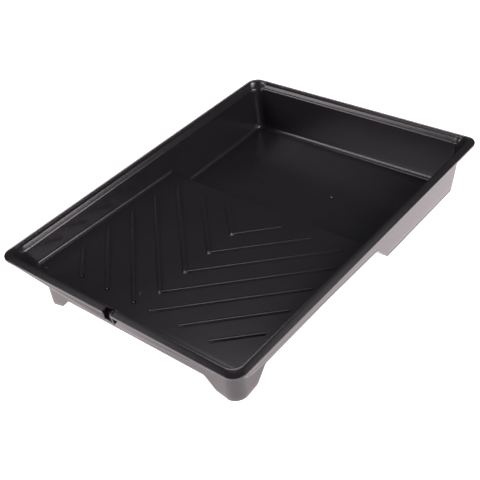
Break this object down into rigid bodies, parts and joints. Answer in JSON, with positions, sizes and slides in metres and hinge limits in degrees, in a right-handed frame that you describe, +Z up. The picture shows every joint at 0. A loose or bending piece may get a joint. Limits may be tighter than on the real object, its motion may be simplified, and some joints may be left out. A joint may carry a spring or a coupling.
{
  "type": "paint roller tray",
  "caption": "Shallow rectangular paint roller tray with a deep well, a chevron-ribbed ramp, a flanged rim notched at the front, and front legs.",
  "frame": {"origin": "centre of the tray's bounding box, on the surface it stands on", "axes": "+X across the tray to its right, +Y along the tray from the ramp towards the deep well, +Z up"},
  "size_m": [0.27, 0.364, 0.0591],
  "materials": {
    "black_plastic": "semi-gloss moulded black plastic"
  },
  "bodies": {
    "root": {"rim_back": "black_plastic", "rim_left": "black_plastic", "rim_right": "black_plastic", "rim_front_left": "black_plastic", "rim_front_right": "black_plastic", "rim_back_left_corner": "black_plastic", "rim_back_right_corner": "black_plastic", "rim_front_left_corner": "black_plastic", "rim_front_right_corner": "black_plastic", "wall_back": "black_plastic", "wall_well_left": "black_plastic", "wall_well_right": "black_plastic", "wall_ramp_left": "black_plastic", "wall_ramp_right": "black_plastic", "wall_front_left": "black_plastic", "wall_front_right": "black_plastic", "wall_back_left_corner": "black_plastic", "wall_back_right_corner": "black_plastic", "wall_front_left_corner": "black_plastic", "wall_front_right_corner": "black_plastic", "ramp_deck": "black_plastic", "ramp_step": "black_plastic", "well_floor": "black_plastic", "chevron_rib_1": "black_plastic", "chevron_rib_2": "black_plastic", "chevron_rib_3": "black_plastic", "chevron_rib_4": "black_plastic", "left_rib_1": "black_plastic", "left_rib_2": "black_plastic", "left_rib_3": "black_plastic", "right_rib_1": "black_plastic", "right_rib_2": "black_plastic", "right_rib_3": "black_plastic", "front_left_leg": "black_plastic", "front_right_leg": "black_plastic", "left_skirt": "black_plastic", "right_skirt": "black_plastic", "front_skirt": "black_plastic"}
  },
  "joints": []
}
